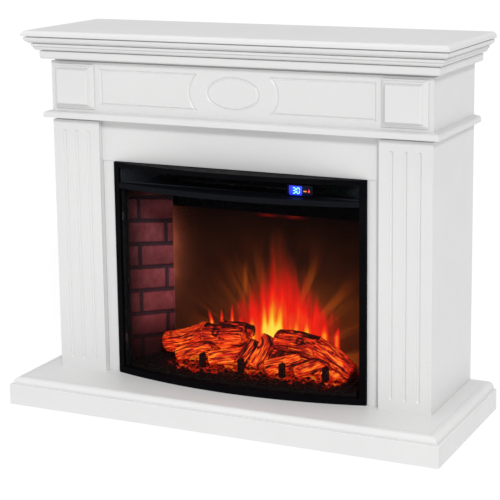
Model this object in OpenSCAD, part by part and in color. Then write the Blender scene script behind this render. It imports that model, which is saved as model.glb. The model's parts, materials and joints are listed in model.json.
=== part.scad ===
// Electric fireplace suite: a painted MDF surround on a hearth, holding a
// bow-fronted electric firebox with a log fire, a flame rotor and a fan heater.
// Millimetres. X runs to the right, Y runs from front to back, Z is up.
// The origin is the middle of the floor rectangle that the suite stands on.

/* [Surround] */
// Width of the hearth, the widest part of the suite
base_w = 1300; // [1280:5:1400]
// Depth of the hearth from its front to the wall
base_d = 504; // [490:2:560]
// Height to the top of the mantel shelf
total_h = 1070; // [1060:2:1100]
// Width of the surround's body, across both pilasters
body_w = 1146; // [1140:2:1180]
// Depth of the surround's body, from the pilaster faces to the wall
body_d = 343; // [336:1:360]
// How far the shelf overhangs the body at the front and at each side
shelf_over = 61; // [58:1:70]
// Thickness of the mantel shelf
shelf_t = 16; // [15:0.5:18]
// Width of each fluted pilaster
pilaster_w = 150; // [146:1:160]
// Thickness of the pilaster and frieze boards
board_t = 20; // [18:0.5:22]
// Height of the plinth boards under the hearth
plinth_h = 59; // [56:1:64]
// Thickness of the hearth board
hearth_t = 19; // [18:0.5:22]
// Height of the underside of the waist moulding
waist_z = 820; // [812:1:828]
// Height of the underside of the crown moulding
crown_z = 988; // [984:1:992]
// Width of a routed flute
flute_w = 10; // [8:0.5:12]

/* [Firebox] */
// Width of the black front frame
frame_w = 768; // [760:1:770]
// Height of the top of the front frame
frame_top = 699; // [698:0.5:699.5]
// How far the frame bows out between its ends and its middle
bow = 54; // [48:1:58]
// How far the ends of the frame stand in front of the jamb boards
frame_proud = 9; // [8:0.5:10]
// Width of the frame's side stiles
stile_w = 18; // [17:0.5:19]
// Height of the frame's top rail and middle rail
rail_h = 15; // [14:0.5:16]
// Height of the underside of the middle rail
mid_rail_z = 625; // [625:0.5:627]
// Thickness of the curved glass
glass_t = 4; // [3:0.5:4]
// Height of the top of the flame screen
screen_top = 534; // [520:1:560]
// Radius of the fan impeller
impeller_r = 24; // [20:1:25]
// Blades on the fan impeller
impeller_blades = 18; // [12:1:24]
// Paddle stations along the flame rotor
rotor_stations = 12; // [6:1:16]

/* [Hidden] */
$fn = 64;
big_fn = 360;

white = [0.93, 0.93, 0.92];
black = [0.06, 0.06, 0.08];
steel = [0.62, 0.64, 0.66];
brick_red = [0.42, 0.16, 0.17];
ember_red = [0.85, 0.25, 0.08];
board_green = [0.1, 0.35, 0.2];

// planes of the surround
back_y = base_d / 2;
front_y = back_y - body_d;
jamb_y = front_y + board_t;
hearth_z = plinth_h + hearth_t;
shelf_z = total_h - shelf_t;
half_body = body_w / 2;
pilaster_in = half_body - pilaster_w;
plinth_t = 16;
panel_t = 18;
header_z = frame_top + 1;

// crown moulding: three tiers with rounded lower edges and a quirk cut over each
crown_out = shelf_over - 5;
gap_h = 7;
gap_in = 8;
waist_h = 20;
waist_out = 20;

// frieze ornament, all routed with one V-shaped cutter
frieze_mid_z = (waist_z + waist_h + crown_z) / 2 - 3;
groove_w = 9;
groove_deep = 3.5;
oval_half_w = 77;
oval_half_h = 43.5;
oval_end_r = 30;
oval_k = (pow(oval_half_w - oval_end_r, 2) - pow(oval_half_h - oval_end_r, 2))
    / (2 * (oval_half_h - oval_end_r));
oval_top_r = oval_half_h + oval_k;
oval_join = atan2(oval_k, oval_half_w - oval_end_r);
panel_out_x = 411;
panel_in_x = 114;
panel_half_h = 48;
scoop_sag = 20;
scoop_r = (pow(panel_half_h, 2) + pow(scoop_sag, 2)) / (2 * scoop_sag);
scoop_x = panel_in_x + scoop_sag - scoop_r;
scoop_angle = asin(panel_half_h / scoop_r);
block_w = 128;
block_h = 126;
block_proud = 22;
block_x = pilaster_in + pilaster_w / 2 - 2;
flute_pitch = 39;
flute_z0 = 113;
flute_z1 = 780;
flute_deep = 4;

// front frame: the bow is an arc about a vertical line behind the firebox
frame_edge_y = jamb_y - frame_proud;
frame_front_y = frame_edge_y - bow;
bow_r = (pow(frame_w / 2, 2) + pow(bow, 2)) / (2 * bow);
window_w = frame_w - 2 * stile_w;
window_z0 = hearth_z + 19;
window_z1 = frame_top - rail_h + 0.5;
// where the bow lies at x, set back by d
function bow_y(x, d) = frame_front_y + bow_r - sqrt(pow(bow_r - d, 2) - pow(x, 2));
sheet = 1.5;
lip = 13.5;
mid_rail_top = mid_rail_z + rail_h + 0.5;
glass_back = lip;
glass_w = window_w + 6;
grille_y = jamb_y - 3.5;

// cabinet behind the frame
cab_w = 743;
cab_back = back_y - 16;
cab_floor_z = hearth_z + sheet;
cab_top_z = frame_top - 2;
flange_h = 25;
wall_front = [357, jamb_y + 11];
wall_back = [320, 143];
wall_t = 8;
ceiling_z = mid_rail_z - 3;
wall_len = norm(wall_front - wall_back);
wall_turn = atan2(wall_back[1] - wall_front[1], wall_front[0] - wall_back[0]);
course_h = 69.3;
mortar = 7.5;
upright_joint = 12;
// the courses fall towards the back, a false perspective, by this much per millimetre
course_fall = 0.178;
brick_foot = 92;
brick_relief = 2.5;

// fire
bed_top = 112;
finger_count = 4;
finger_x0 = -134;
finger_pitch = 125;
finger_back = 90;
// each log: start point, end point, radius at the start, radius at the end
logs = [
    [[-292, 40, 142], [-150, 28, 190], 29, 36],
    [[-160, 34, 184], [-20, 20, 196], 36, 30],
    [[-120, 52, 214], [-8, 40, 206], 21, 19],
    [[-232, -16, 132], [-128, 14, 158], 17, 20],
    [[-118, -30, 130], [-12, 4, 158], 19, 22],
    [[-18, -26, 124], [14, 18, 190], 19, 22],
    [[22, -28, 128], [58, 22, 206], 24, 26],
    [[72, 24, 204], [212, 6, 196], 30, 33],
    [[196, 10, 198], [318, -2, 142], 32, 24],
    [[62, -34, 128], [160, 0, 162], 19, 20],
    [[150, -28, 126], [232, 2, 160], 16, 18],
    [[222, -22, 126], [296, 4, 140], 15, 16]];

function finger_x(i) = finger_x0 + i * finger_pitch;

// flame rotor, behind the flame screen
rotor_y = 190;
rotor_z = 150;
rotor_half = 298;
shaft_r = 2.5;
run_gap = 0.05;

// heater, above the firebox
fan_y = 10;
fan_z = 660;
fan_x0 = -190;
fan_x1 = 150;
duct_z0 = 643;
duct_z1 = 669;
wall = 2;

// display, seen through the right half of the grille
display_x = 192;
display_z = 657;
display_w = 74;
display_h = 30;

// rear controls
gland_x = -250;
gland_z = 180;
cord_r = 3.6;
switch_x = -180;
switch_z = 180;
switch_w = 20;
rocker_r = 11;
rocker_y = cab_back - 4;
rocker_tilt = 10;

// ---------- moulding helpers: profiles are drawn as (outward, up) ----------

module run_front(run) {
    translate([-run / 2, front_y, 0]) rotate([90, 0, 90])
        linear_extrude(run) mirror([1, 0]) children();
}

module run_right(run) {
    translate([half_body, back_y, 0]) rotate([90, 0, 0]) linear_extrude(run) children();
}

// keeps the part of a front run between its two mitres
module front_mitre(out) {
    linear_extrude(total_h) polygon([[-half_body, front_y], [half_body, front_y],
        [half_body + out, front_y - out], [-half_body - out, front_y - out]]);
}

// keeps the part of a right-hand run between its mitre and the wall
module side_mitre(out) {
    linear_extrude(total_h) polygon([[half_body, back_y], [half_body, front_y],
        [half_body + out, front_y - out], [half_body + out, back_y]]);
}

// a rounded step under a moulding: from (x, z) at its foot out to (x + rx, z + rz)
function ovolo(x, z, rx, rz) = [for (a = [0:7.5:90]) [x + rx * sin(a), z + rz * (1 - cos(a))]];

module crown_profile() {
    h = shelf_z - crown_z;
    k = h / 66;
    translate([0, crown_z]) polygon(concat([[0, 0]], ovolo(17.5, 0, 6, 6),
        [[23.5, 22 * k], [18.5, 22 * k], [18.5, 24.5 * k]], ovolo(24.5, 24.5 * k, 12, 10 * k),
        [[36.5, 36 * k], [41, 37 * k], [41, 44 * k], [36, 44 * k], [36, 46.5 * k],
            [46, 46.5 * k], [46, 49 * k]],
        ovolo(47.5, 49 * k, crown_out - 47.5, h - 3.5 - 49 * k),
        [[crown_out - 6, h - 3.5], [crown_out - 6, h], [0, h]]));
}

module waist_profile() {
    r = 7;
    polygon([[0, waist_z], [waist_out, waist_z], [waist_out, waist_z + waist_h - 3 - r],
        [waist_out - r, waist_z + waist_h - 3], [0, waist_z + waist_h]]);
    translate([waist_out - r, waist_z + waist_h - 3 - r]) circle(r);
}

// rounds off the top edge of a slab: a bar along X, its corner on the X axis
module round_over(run, r) {
    translate([-run / 2, 0, 0]) rotate([90, 0, 90]) linear_extrude(run) difference() {
        translate([-1, -r]) square([r + 1, r + 1]);
        translate([r, -r]) circle(r);
    }
}

// ---------- surround ----------

module mantel_shelf() {
    half_w = half_body + shelf_over;
    front = front_y - shelf_over;
    color(white) difference() {
        translate([-half_w, front, shelf_z]) cube([2 * half_w, back_y - front, shelf_t]);
        translate([0, front, total_h]) round_over(2 * half_w + 2, 13);
        translate([-half_w, 0, total_h]) rotate([0, 0, -90]) round_over(2 * base_d, 13);
        translate([half_w, 0, total_h]) rotate([0, 0, 90]) round_over(2 * base_d, 13);
    }
}

module crown_front() {
    color(white) intersection() {
        run_front(body_w + 2 * crown_out) crown_profile();
        front_mitre(crown_out + 1);
    }
}

module crown_right() {
    color(white) intersection() {
        run_right(body_d + crown_out) crown_profile();
        side_mitre(crown_out + 1);
    }
}

module crown_left() {
    mirror([1, 0, 0]) crown_right();
}

module waist_front() {
    color(white) intersection() {
        run_front(body_w + 2 * waist_out) waist_profile();
        front_mitre(waist_out + 1);
    }
}

module waist_right() {
    color(white) intersection() {
        run_right(body_d + waist_out) waist_profile();
        side_mitre(waist_out + 1);
    }
}

module waist_left() {
    mirror([1, 0, 0]) waist_right();
}

// V-shaped cut on the front face: a bar along +X from the origin
module groove(run) {
    rotate([90, 0, 90]) linear_extrude(run)
        polygon([[-0.1, -groove_w / 2], [groove_deep, 0], [-0.1, groove_w / 2]]);
}

// the same cut bent round a circle of radius r in the XZ plane, from angle a0 to a1
module groove_arc(r, a0, a1) {
    rotate([90, 0, 0]) rotate([0, 0, a0]) rotate_extrude(angle = a1 - a0, $fn = 180)
        translate([r, 0]) polygon([[-groove_w / 2, 0.1], [0, -groove_deep], [groove_w / 2, 0.1]]);
}

module oval_grooves() {
    for (s = [0, 180])
        rotate([0, s, 0]) translate([oval_half_w - oval_end_r, 0, 0])
            groove_arc(oval_end_r, -oval_join - 2, oval_join + 2);
    translate([0, 0, -oval_k]) groove_arc(oval_top_r, oval_join, 180 - oval_join);
    translate([0, 0, oval_k]) groove_arc(oval_top_r, 180 + oval_join, 360 - oval_join);
}

// long outline with a scooped inner end, on the right-hand side
module panel_grooves() {
    past = 3;
    run = panel_out_x - panel_in_x + past + groove_w / 2;
    for (s = [-1, 1])
        translate([panel_in_x - past, 0, s * panel_half_h]) groove(run);
    translate([panel_out_x, 0, panel_half_h + groove_w / 2]) rotate([0, 90, 0])
        groove(2 * panel_half_h + groove_w);
    translate([scoop_x, 0, 0]) groove_arc(scoop_r, -scoop_angle - past, scoop_angle + past);
}

// the shadow gap cut round the outside of the body, just below height z
module shadow_gap(z) {
    translate([0, 0, z - gap_h]) linear_extrude(gap_h) difference() {
        translate([-half_body - 1, front_y - 1]) square([body_w + 2, body_d + 2]);
        translate([-half_body + gap_in, front_y + gap_in]) square([body_w - 2 * gap_in, body_d]);
    }
}

module frieze_board() {
    color(white) difference() {
        translate([-half_body, front_y, waist_z]) cube([body_w, board_t, shelf_z - waist_z]);
        shadow_gap(crown_z);
        translate([0, front_y, frieze_mid_z]) {
            oval_grooves();
            panel_grooves();
            mirror([1, 0, 0]) panel_grooves();
        }
    }
}

// half of a stepped block's section: (distance from the middle, height off the board)
function block_steps(half) = [[-half, 0], [half, 0], [half, 5], [half - 3, 5], [half - 6, 10],
    [half - 9, 10], [half - 13, 17], [half - 13, 19], [half - 16, block_proud],
    [16 - half, block_proud], [13 - half, 19], [13 - half, 17], [9 - half, 10],
    [6 - half, 10], [3 - half, 5], [-half, 5]];

module corner_block(x) {
    color(white) translate([x, front_y, frieze_mid_z]) intersection() {
        translate([0, 0, -block_h]) linear_extrude(2 * block_h)
            mirror([0, 1]) polygon(block_steps(block_w / 2));
        translate([-block_w, 0, 0]) rotate([90, 0, 90]) linear_extrude(2 * block_w)
            rotate([0, 0, 90]) polygon(block_steps(block_h / 2));
    }
}

module corner_block_left() {
    corner_block(-block_x);
}

module corner_block_right() {
    corner_block(block_x);
}

module side_panel_right() {
    color(white) difference() {
        translate([half_body - panel_t, jamb_y, hearth_z])
            cube([panel_t, back_y - jamb_y, shelf_z - hearth_z]);
        shadow_gap(crown_z);
        shadow_gap(waist_z);
    }
}

module side_panel_left() {
    mirror([1, 0, 0]) side_panel_right();
}

module header_board() {
    color(white) translate([-pilaster_in, jamb_y - 3, header_z])
        cube([2 * pilaster_in, 18, waist_z - header_z]);
}

// a flute: round-bottomed, with round ends
module flute() {
    cutter_r = (pow(flute_w / 2, 2) + pow(flute_deep, 2)) / (2 * flute_deep);
    translate([0, flute_deep - cutter_r, flute_z0]) cylinder(h = flute_z1 - flute_z0, r = cutter_r);
    for (z = [flute_z0, flute_z1])
        translate([0, flute_deep - cutter_r, z]) sphere(r = cutter_r);
}

module pilaster_right() {
    mid = pilaster_in + pilaster_w / 2 - 1;
    color(white) difference() {
        translate([pilaster_in, front_y, hearth_z]) cube([pilaster_w, board_t, waist_z - hearth_z]);
        shadow_gap(waist_z);
        for (i = [-1:1]) translate([mid + i * flute_pitch, front_y, 0]) flute();
    }
}

module pilaster_left() {
    mirror([1, 0, 0]) pilaster_right();
}

module jamb_right() {
    color(white) translate([cab_w / 2 + 1, jamb_y, hearth_z])
        cube([pilaster_in - cab_w / 2 - 1, 18, header_z - hearth_z]);
}

module jamb_left() {
    mirror([1, 0, 0]) jamb_right();
}

module hearth_board() {
    inset = 8;
    half_w = base_w / 2 - inset;
    front = inset - base_d / 2;
    seam = 24;
    color(white) difference() {
        translate([-half_w, front, plinth_h]) cube([2 * half_w, back_y - front, hearth_t]);
        translate([0, front, hearth_z]) round_over(2 * half_w + 2, 16);
        translate([-half_w, 0, hearth_z]) rotate([0, 0, -90]) round_over(2 * base_d, 16);
        translate([half_w, 0, hearth_z]) rotate([0, 0, 90]) round_over(2 * base_d, 16);
        // a fine scored line runs inside the rounded edge
        translate([-half_w, front + seam, hearth_z - 1]) cube([2 * half_w, 1.5, 2]);
        for (s = [-1, 1])
            translate([s * (half_w - seam) - 0.75, front, hearth_z - 1]) cube([1.5, base_d, 2]);
    }
}

module plinth_front() {
    w = base_w / 2;
    d = base_d / 2;
    color(white) difference() {
        linear_extrude(plinth_h) polygon([[-w, -d], [w, -d], [w - plinth_t, plinth_t - d],
            [plinth_t - w, plinth_t - d]]);
        translate([0, -d, plinth_h]) round_over(base_w + 2, 2);
    }
}

module plinth_right() {
    w = base_w / 2;
    d = base_d / 2;
    color(white) difference() {
        linear_extrude(plinth_h) polygon([[w, -d], [w, d], [w - plinth_t, d],
            [w - plinth_t, plinth_t - d]]);
        translate([w, 0, plinth_h]) rotate([0, 0, 90]) round_over(2 * base_d, 2);
    }
}

module plinth_left() {
    mirror([1, 0, 0]) plinth_right();
}

module plinth_back() {
    w = base_w / 2 - plinth_t;
    color(white) translate([-w, back_y - plinth_t, 0]) cube([2 * w, plinth_t, plinth_h]);
}

module back_rail() {
    w = half_body - panel_t;
    color(white) translate([-w, back_y - panel_t, shelf_z - 90]) cube([2 * w, panel_t, 90]);
}

// triangular glue blocks between the side panels and the hearth board
module corner_braces() {
    size = 60;
    x = half_body - panel_t;
    color([0.75, 0.68, 0.55]) for (s = [-1, 1], y = [0, 90, 180])
        translate([s * x, y, hearth_z]) rotate([90, 0, 0]) linear_extrude(panel_t)
            polygon([[0, 0], [-s * size, 0], [0, size]]);
}

// ---------- firebox front ----------

// the plan of the bowed front, set back by d, cut off at half width w and at y1
module bow_plan(d, w, y1) {
    intersection() {
        translate([0, frame_front_y + bow_r]) circle(r = bow_r - d, $fn = big_fn);
        translate([-w, frame_front_y - 1]) square([2 * w, y1 - frame_front_y + 1]);
    }
}

// a curved sheet between set-backs d0 and d1
module bow_sheet(d0, d1, w, z0, z1) {
    translate([0, 0, z0]) linear_extrude(z1 - z0) difference() {
        bow_plan(d0, w, jamb_y);
        translate([0, frame_front_y + bow_r]) circle(r = bow_r - d1, $fn = big_fn);
    }
}

module bow_plate(d, w, y1, z0, z1) {
    translate([0, 0, z0]) linear_extrude(z1 - z0) bow_plan(d, w, y1);
}

module front_frame() {
    w = frame_w / 2;
    color(black) {
        difference() {
            union() {
                bow_sheet(0, 3, w, hearth_z, frame_top);
                bow_sheet(0, lip, window_w / 2 + sheet, window_z0 - sheet, window_z1 + sheet);
            }
            translate([-window_w / 2, frame_front_y - 1, window_z0])
                cube([window_w, 100, window_z1 - window_z0]);
        }
        bow_plate(0.5, w, jamb_y, frame_top - sheet, frame_top);
        bow_plate(0.5, w, jamb_y, hearth_z, hearth_z + sheet);
        for (s = [-1, 1]) {
            translate([s * (w - sheet / 2) - sheet / 2, frame_edge_y + 0.5, hearth_z])
                cube([sheet, frame_proud - 0.5, frame_top - hearth_z]);
            translate([s * (w + cab_w / 2) / 2 - (w - cab_w / 2) / 2, jamb_y - sheet, hearth_z])
                cube([w - cab_w / 2, sheet, frame_top - hearth_z]);
        }
    }
}

module mid_rail() {
    w = window_w / 2 - 0.2;
    color(black) {
        bow_sheet(0.3, 3, w, mid_rail_z, mid_rail_top);
        bow_sheet(0.3, lip, w, mid_rail_z, mid_rail_z + sheet);
        bow_plate(0.3, w, jamb_y - 1, mid_rail_top - sheet, mid_rail_top);
    }
}

module air_grille() {
    w = window_w / 2 - 0.4;
    z0 = mid_rail_top + 0.2;
    h = window_z1 - z0 - 0.2;
    slot_w = 8;
    pitch = 12;
    color(black) translate([0, grille_y, z0]) difference() {
        translate([-w, 0, 0]) cube([2 * w, sheet, h]);
        for (i = [0:59]) {
            x = -w + 8 + i * pitch;
            if (abs(x + slot_w / 2 - display_x) > display_w / 2 + slot_w)
                translate([x, -1, 5]) cube([slot_w, sheet + 2, h - 10]);
        }
        translate([display_x - display_w / 2 + 2, -1, display_z - display_h / 2 + 2 - z0])
            cube([display_w - 4, sheet + 2, display_h - 4]);
    }
}

module front_glass() {
    color([0.25, 0.25, 0.28, 0.35])
        bow_sheet(glass_back, glass_back + glass_t, glass_w / 2, window_z0 - 8, mid_rail_z + 9);
}

// sheet clips with a screw, behind the ends of the glass
module glass_clips() {
    x = glass_w / 2 - 2.5;
    set_back = glass_back + glass_t;
    color(steel) for (s = [-1, 1], z = [180, 540])
        translate([s * x, bow_y(x, set_back), z]) rotate([0, 0, s * asin(x / (bow_r - set_back))]) {
            translate([-2.5, 0.02, -12]) cube([5, 2, 24]);
            translate([0, 2, 0]) rotate([-90, 0, 0]) cylinder(h = 2, r = 2.2);
        }
}

module display_window() {
    color([0.05, 0.08, 0.3])
        translate([display_x - display_w / 2, grille_y - 3, display_z - display_h / 2])
            cube([display_w, 3, display_h]);
}

module display_module() {
    w = display_w - 6;
    h = display_h - 6;
    color([0.1, 0.2, 0.9]) {
        translate([display_x - w / 2, grille_y, display_z - h / 2]) cube([w, 8, h]);
        translate([display_x - w / 2 - 6, grille_y + 8, display_z - h / 2 - 2])
            cube([w + 12, 1.6, h + 4]);
    }
}

module control_board() {
    x = 200;
    y = 30;
    z = ceiling_z + 8;
    color(board_green) {
        translate([x, y, z]) cube([120, 80, 1.6]);
        for (p = [[6, 8], [114, 8], [6, 72], [114, 72]])
            translate([x + p[0], y + p[1], ceiling_z + 2]) cylinder(h = 6.5, r = 3);
        translate([x + 10, y + 20, z + 1.6]) cube([18, 15, 15]);
        translate([x + 34, y + 20, z + 1.6]) cube([18, 15, 15]);
        translate([x + 62, y + 40, z + 1.6]) cube([24, 24, 3]);
        for (i = [0:2]) translate([x + 66 + 16 * i, y + 20, z + 1.6]) cylinder(h = 14, r = 5);
    }
}

// ---------- cabinet ----------

module cabinet_side_right() {
    color(steel) translate([cab_w / 2 - sheet, jamb_y, cab_floor_z])
        cube([sheet, cab_back - jamb_y, cab_top_z - cab_floor_z]);
}

module cabinet_side_left() {
    mirror([1, 0, 0]) cabinet_side_right();
}

// turned flange inside the rear cover, with the holes that its screws bite into
module cover_flange(z) {
    w = cab_w / 2 - sheet;
    y = cab_back - 2 * sheet;
    difference() {
        translate([-w, y, z]) cube([2 * w, sheet, flange_h]);
        for (p = cover_screws())
            translate([p[0], y - 1, p[1]]) rotate([-90, 0, 0]) cylinder(h = 4, r = 1.65);
    }
}

module cabinet_top() {
    color(steel) {
        translate([-cab_w / 2, jamb_y, cab_top_z]) cube([cab_w, cab_back - jamb_y, sheet]);
        cover_flange(cab_top_z - flange_h);
    }
}

module cabinet_floor() {
    color(steel) {
        translate([-cab_w / 2, jamb_y, hearth_z]) cube([cab_w, cab_back - jamb_y, sheet]);
        cover_flange(cab_floor_z);
    }
}

function cover_screws() = [for (x = [-350, -120, 120, 350], z = [95, 680]) [x, z]];

module rear_cover() {
    w = cab_w / 2 - sheet;
    color(steel) difference() {
        translate([-w, cab_back - sheet, cab_floor_z]) cube([2 * w, sheet, cab_top_z - cab_floor_z]);
        for (i = [0:11], x = [-120, 120])
            translate([x - 50, cab_back - 5, 486 + i * 9]) cube([100, 10, 4]);
        translate([gland_x, cab_back - 5, gland_z]) rotate([-90, 0, 0]) cylinder(h = 10, r = 7.1);
        translate([switch_x - 16, cab_back - 5, switch_z - 13]) cube([32, 10, 26]);
        for (p = cover_screws())
            translate([p[0], cab_back - 5, p[1]]) rotate([-90, 0, 0]) cylinder(h = 10, r = 1.7);
    }
}

module rear_cover_screws() {
    color(steel) for (p = cover_screws())
        translate([p[0], cab_back, p[1]]) rotate([-90, 0, 0]) {
            cylinder(h = 2, r = 3.6);
            translate([0, 0, -8]) cylinder(h = 8.5, r = 1.6);
        }
}

// ---------- firebox lining ----------

// a brick of row i on the wall's face, between x0 and x1
module brick(i, x0, x1) {
    z = brick_foot + i * course_h + mortar / 2;
    h = course_h - mortar;
    d0 = course_fall * (x0 - wall_len / 2);
    d1 = course_fall * (x1 - wall_len / 2);
    polygon([[x0, z - d0], [x1, z - d1], [x1, z + h - d1], [x0, z + h - d0]]);
}

// one splayed side wall, right-hand: local X runs back along the wall, local Y outwards
module brick_panel_right() {
    z0 = cab_floor_z;
    color(brick_red) translate([wall_front[0], wall_front[1], 0])
        rotate([0, 0, 180 - wall_turn]) mirror([0, 1, 0]) {
            translate([0, 0, z0]) cube([wall_len, wall_t - brick_relief, ceiling_z - z0]);
            translate([0, 0.5, 0]) rotate([90, 0, 0]) linear_extrude(brick_relief + 0.5)
                intersection() {
                    translate([8, z0]) square([wall_len - 8, ceiling_z - z0]);
                    union() {
                        for (i = [-1:8]) let (split = i % 2 == 0 ? 46 : 167) {
                            brick(i, 0, split);
                            brick(i, split + upright_joint, wall_len + 1);
                        }
                    }
                }
        }
}

module brick_panel_left() {
    mirror([1, 0, 0]) brick_panel_right();
}

// plan of the firebox between the side walls, shrunk by gap
module firebox_plan(gap, back) {
    x0 = wall_front[0] - 4 - gap;
    x1 = wall_back[0] - 4 - gap;
    intersection() {
        polygon([[-x0 - 8, wall_front[1] - 46], [-x0, wall_front[1]], [-x1, back], [x1, back],
            [x0, wall_front[1]], [x0 + 8, wall_front[1] - 46]]);
        translate([0, frame_front_y + bow_r])
            circle(r = bow_r - glass_back - glass_t - 2 - gap, $fn = big_fn);
    }
}

module firebox_ceiling() {
    back = wall_back[1] - 0.5;
    color(black) {
        translate([0, 0, ceiling_z]) linear_extrude(2) intersection() {
            translate([0, frame_front_y + bow_r])
                circle(r = bow_r - glass_back - glass_t - 1, $fn = big_fn);
            translate([-356, frame_front_y]) square([712, back - frame_front_y]);
        }
        translate([4 - wall_back[0], back - 2, screen_top + 1])
            cube([2 * wall_back[0] - 8, 2, ceiling_z - screen_top]);
    }
}

module flame_screen() {
    color([0.5, 0.2, 0.08, 0.8]) translate([-wall_back[0], wall_back[1], cab_floor_z])
        cube([2 * wall_back[0], 3, screen_top - cab_floor_z]);
}

module log_set() {
    color(ember_red) difference() {
        for (l = logs) {
            span = l[1] - l[0];
            translate(l[0]) rotate([0, acos(span[2] / norm(span)), atan2(span[1], span[0])])
                cylinder(h = norm(span), r1 = l[2], r2 = l[3], $fn = 24);
        }
        translate([-400, -100, 0]) cube([800, 300, bed_top]);
        for (i = [0:finger_count - 1])
            translate([finger_x(i) - 10, bow_y(finger_x(i), finger_back) - 9, 0]) cube([20, 18, 170]);
    }
}

module ember_bed() {
    color([0.2, 0.08, 0.06]) difference() {
        translate([0, 0, cab_floor_z]) linear_extrude(bed_top - cab_floor_z) firebox_plan(2, 120);
        translate([-300, -60, cab_floor_z - 1]) cube([600, 160, 25]);
    }
}

// four iron fingers that stand in front of the logs
module grate_fingers() {
    color([0.12, 0.1, 0.1]) for (i = [0:finger_count - 1])
        translate([finger_x(i), bow_y(finger_x(i), finger_back), bed_top]) {
            translate([-8, -7, 0]) cube([16, 14, 34]);
            translate([0, -7, 34]) rotate([-90, 0, 0]) cylinder(h = 14, r = 8);
        }
}

module led_strip(run, count) {
    cube([run, 20, 1.6]);
    pitch = run / count;
    for (i = [0:count - 1])
        translate([pitch * (i + 0.5) - 3, 7, 1.6]) cube([6, 6, 3]);
}

module ember_led_board() {
    color(board_green) translate([-280, 10, cab_floor_z]) led_strip(560, 14);
}

module flame_led_board() {
    color(board_green) translate([-280, 208, cab_floor_z]) led_strip(560, 14);
}

// ---------- flame rotor ----------

module flame_rotor() {
    paddle = 2 * (rotor_half - 30) / rotor_stations;
    color([0.8, 0.8, 0.82]) translate([0, rotor_y, rotor_z]) {
        translate([-rotor_half - 6, 0, 0]) rotate([0, 90, 0])
            cylinder(h = 2 * rotor_half + 16, r = shaft_r);
        for (i = [0:rotor_stations - 1], k = [0:2])
            translate([30 - rotor_half + i * paddle + 3, 0, 0]) rotate([120 * k + 37 * i, 0, 0])
                translate([0, -0.5, 0]) cube([paddle - 6, 1, 20]);
    }
}

module rotor_bearings() {
    color(steel) for (s = [-1, 1]) translate([s * rotor_half, 0, 0]) difference() {
        union() {
            translate([-2, rotor_y - 9, cab_floor_z]) cube([4, 18, rotor_z - cab_floor_z + 9]);
            translate([-2, rotor_y - 9, cab_floor_z]) cube([16, 18, 2]);
        }
        translate([-20, rotor_y, rotor_z]) rotate([0, 90, 0]) cylinder(h = 40, r = shaft_r + run_gap);
    }
}

// geared synchronous motor on the right-hand end of the rotor
module rotor_motor() {
    x = rotor_half + 4;
    color([0.7, 0.68, 0.6]) difference() {
        union() {
            translate([x, rotor_y, rotor_z]) rotate([0, 90, 0]) cylinder(h = 22, r = 24);
            translate([x, rotor_y - 12, rotor_z - 32]) cube([2, 24, 64]);
            translate([x + 14, rotor_y - 12, cab_floor_z]) cube([2, 24, rotor_z - cab_floor_z - 22]);
        }
        translate([x - 1, rotor_y, rotor_z]) rotate([0, 90, 0])
            cylinder(h = 12, r = shaft_r + run_gap);
    }
}

// ---------- fan heater ----------

// section of the scroll and its outlet duct, grown outwards by g
module scroll(g) {
    y0 = grille_y + sheet + 1.5;
    translate([fan_y, fan_z]) circle(impeller_r + 2.5 + g);
    translate([y0, duct_z0 - g]) square([fan_y - y0, duct_z1 - duct_z0 + 2 * g]);
}

module fan_housing() {
    y0 = grille_y + sheet + 1.5;
    y1 = fan_y + impeller_r + 8;
    z0 = ceiling_z + 2;
    z1 = cab_top_z;
    color(black) {
        translate([fan_x0 + wall, 0, 0]) rotate([90, 0, 90])
            linear_extrude(fan_x1 - fan_x0 - 2 * wall) difference() {
                scroll(wall);
                scroll(0);
                translate([y0 - 1, duct_z0]) square([fan_y - y0, duct_z1 - duct_z0]);
                translate([fan_y + 6, fan_z]) square([60, 60]);
            }
        for (x = [fan_x0, fan_x1 - wall]) difference() {
            translate([x, y0, z0]) cube([wall, y1 - y0, z1 - z0]);
            translate([x - 1, fan_y, fan_z]) rotate([0, 90, 0]) cylinder(h = wall + 2, r = 4);
        }
    }
}

module fan_impeller() {
    x0 = fan_x0 + wall + 4;
    run = fan_x1 - fan_x0 - 2 * wall - 8;
    color([0.75, 0.76, 0.78]) translate([x0, fan_y, fan_z]) {
        translate([-18, 0, 0]) rotate([0, 90, 0]) cylinder(h = run + 40, r = shaft_r);
        for (x = [0, run / 2 - 1, run - 2])
            translate([x, 0, 0]) rotate([0, 90, 0]) cylinder(h = 2, r = impeller_r - 1);
        for (i = [0:impeller_blades - 1])
            rotate([360 / impeller_blades * i, 0, 0]) translate([0, -0.5, impeller_r - 7])
                rotate([25, 0, 0]) cube([run, 1, 6.5]);
    }
}

module fan_bearing() {
    color([0.7, 0.55, 0.3]) translate([fan_x0 - 7, fan_y, fan_z]) rotate([0, 90, 0]) difference() {
        cylinder(h = 7, r = 9);
        translate([0, 0, -1]) cylinder(h = 9, r = shaft_r + run_gap);
    }
}

module fan_motor() {
    color([0.3, 0.3, 0.32]) translate([fan_x1, fan_y, fan_z]) rotate([0, 90, 0]) difference() {
        cylinder(h = 36, r = 25);
        translate([0, 0, -1]) cylinder(h = 24, r = shaft_r + run_gap);
    }
}

// three wound rods between two ceramic ends, across the duct
module heating_element() {
    x0 = fan_x0 + wall + 1;
    x1 = fan_x1 - wall - 1;
    y = -52;
    h = duct_z1 - duct_z0 - 2;
    color([0.8, 0.75, 0.65]) {
        for (x = [x0, x1 - 5]) translate([x, y - 3, duct_z0 + 1]) cube([5, 26, h]);
        for (k = [0:2])
            translate([x0 + 2, y + 2 + 8 * k, duct_z0 + 1 + h / 2]) rotate([0, 90, 0])
                cylinder(h = x1 - x0 - 4, r = 2.6);
    }
}

// ---------- rear fittings ----------

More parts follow.
